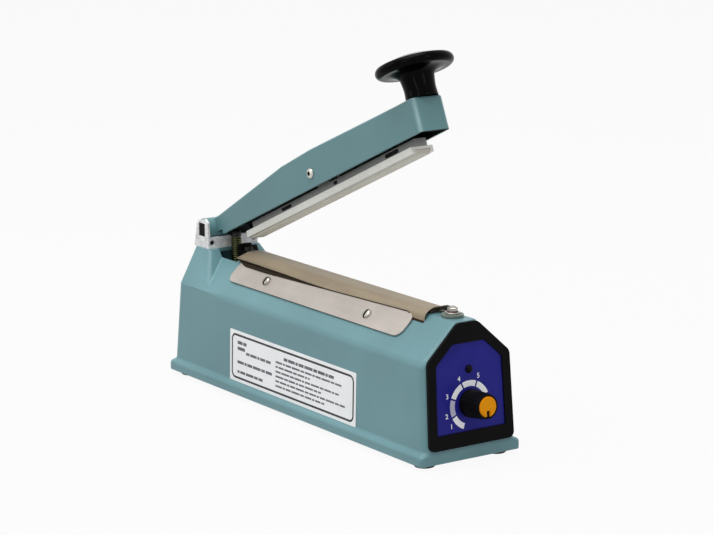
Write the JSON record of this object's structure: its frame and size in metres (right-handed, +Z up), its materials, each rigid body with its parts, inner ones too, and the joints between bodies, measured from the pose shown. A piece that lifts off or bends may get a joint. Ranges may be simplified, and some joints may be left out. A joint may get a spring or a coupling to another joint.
{
  "type": "hand impulse bag sealer",
  "caption": "Hand impulse bag sealer: cast housing with a heated ridge, a spring-raised hinged arm that presses a soft bar on it, and a dial timer on the front.",
  "frame": {"origin": "middle of the whole footprint, timer knob included, on the table under the feet", "axes": "+X along the base from the hinge to the timer, +Z up, -Y towards the side with the label"},
  "size_m": [0.3143, 0.0764, 0.25],
  "materials": {
    "teal_paint": "glossy enamel with a fine orange-peel texture",
    "black_plastic": "polished black moulding",
    "black_trim": "satin black",
    "black_rubber": "matt",
    "panel_blue": "satin printed film",
    "cap_orange": "satin",
    "lamp_dark": "tinted lens",
    "label_white": "satin printed film",
    "bright_steel": "bright plated",
    "steel": "zinc plated",
    "plate_steel": "brushed along its length",
    "aluminium": "extruded, satin",
    "dark_steel": "dark grey coating",
    "silicone": "matt silicone",
    "insulator": "bonded sheet",
    "fibre": "pressed fibre",
    "alloy_wire": "bright resistance ribbon",
    "release_cloth": "coated glass cloth",
    "spring_steel": "olive passivated",
    "nylon": "natural",
    "phenolic": "brown phenolic",
    "board_green": "solder mask",
    "relay_blue": "moulded",
    "core_steel": "varnished sheets",
    "winding": "taped winding",
    "brass": "turned",
    "lead_red": "silicone insulated"
  },
  "bodies": {
    "base": {"housing": "teal_paint", "bottom_plate": "steel", "rubber_feet": "black_rubber", "foot_screws": "steel", "side_label": "label_white", "panel_bezel": "black_trim", "panel_face": "panel_blue", "indicator_lamp": "lamp_dark", "timer_pot": "steel", "pot_nut": "steel", "timer_board": "board_green", "board_standoffs": "brass", "timer_relay": "relay_blue", "timer_capacitor": "black_plastic", "insulating_strip": "insulator", "heating_wire": "alloy_wire", "release_cloth": "release_cloth", "clamp_plate_near": "plate_steel", "clamp_plate_far": "plate_steel", "clamp_screws": "bright_steel", "front_terminal_bolt": "steel", "front_terminal_insulators": "fibre", "front_terminal_nuts": "steel", "rear_terminal_block": "black_trim", "rear_terminal_bolt": "steel", "rear_terminal_nut": "steel", "heater_leads": "lead_red", "hinge_yoke": "bright_steel", "yoke_screws": "steel", "hinge_bushes": "black_trim", "hinge_pin": "steel", "return_spring": "spring_steel", "rod_guide": "nylon", "micro_switch": "phenolic", "switch_bracket": "steel", "switch_screws": "steel", "bracket_screws": "steel", "transformer_core": "core_steel", "transformer_coil": "winding", "transformer_strap": "steel", "strap_screws": "steel", "terminal_strip": "nylon", "strip_screws": "steel", "cord_grommet": "black_rubber"},
    "arm": {"arm_shell": "teal_paint", "handle_knob": "black_plastic", "knob_bolt": "steel", "rock_screw": "steel", "rock_nut": "steel"},
    "bar": {"bar_holder": "dark_steel", "bar_rail": "aluminium", "silicone_strip": "silicone", "rail_screws": "steel"},
    "timer": {"timer_knob": "black_trim", "knob_cap": "cap_orange", "pot_shaft": "steel"},
    "plunger": {"push_rod": "steel"},
    "lever": {"switch_lever": "steel"}
  },
  "joints": [
    {"name": "arm_hinge", "type": "hinge", "parent": "base", "child": "arm", "pos_m": [-0.1404, 0, 0.102], "axis": [0, 1, 0], "range_deg": [0, 21.08], "stiffness_Nm_per_rad": 1.5, "springref_deg": -45.84},
    {"name": "bar_rock", "type": "hinge", "parent": "arm", "child": "bar", "pos_m": [-0.01748, 0, 0.15833], "axis": [0, 1, 0], "range_deg": [0, 2.82]},
    {"name": "timer_turn", "type": "hinge", "parent": "base", "child": "timer", "pos_m": [0.13695, 0, 0.0376], "axis": [-0.9968, 0, -0.0802], "range_deg": [0, 330]},
    {"name": "rod_slide", "type": "slide", "parent": "base", "child": "plunger", "axis": [0, 0, -1], "range_m": [0, 0.0042], "deforming": ["return_spring"]},
    {"name": "lever_hinge", "type": "hinge", "parent": "base", "child": "lever", "pos_m": [-0.1079, 0, 0.0455], "axis": [0, -1, 0], "range_deg": [0, 11.8]}
  ],
  "couplings": [
    {"joint": "bar_rock", "follows": "arm_hinge", "ratio": 0.13379},
    {"joint": "rod_slide", "follows": "arm_hinge", "m_per_rad": 0.011407},
    {"joint": "lever_hinge", "follows": "arm_hinge", "ratio": 0.55955}
  ]
}
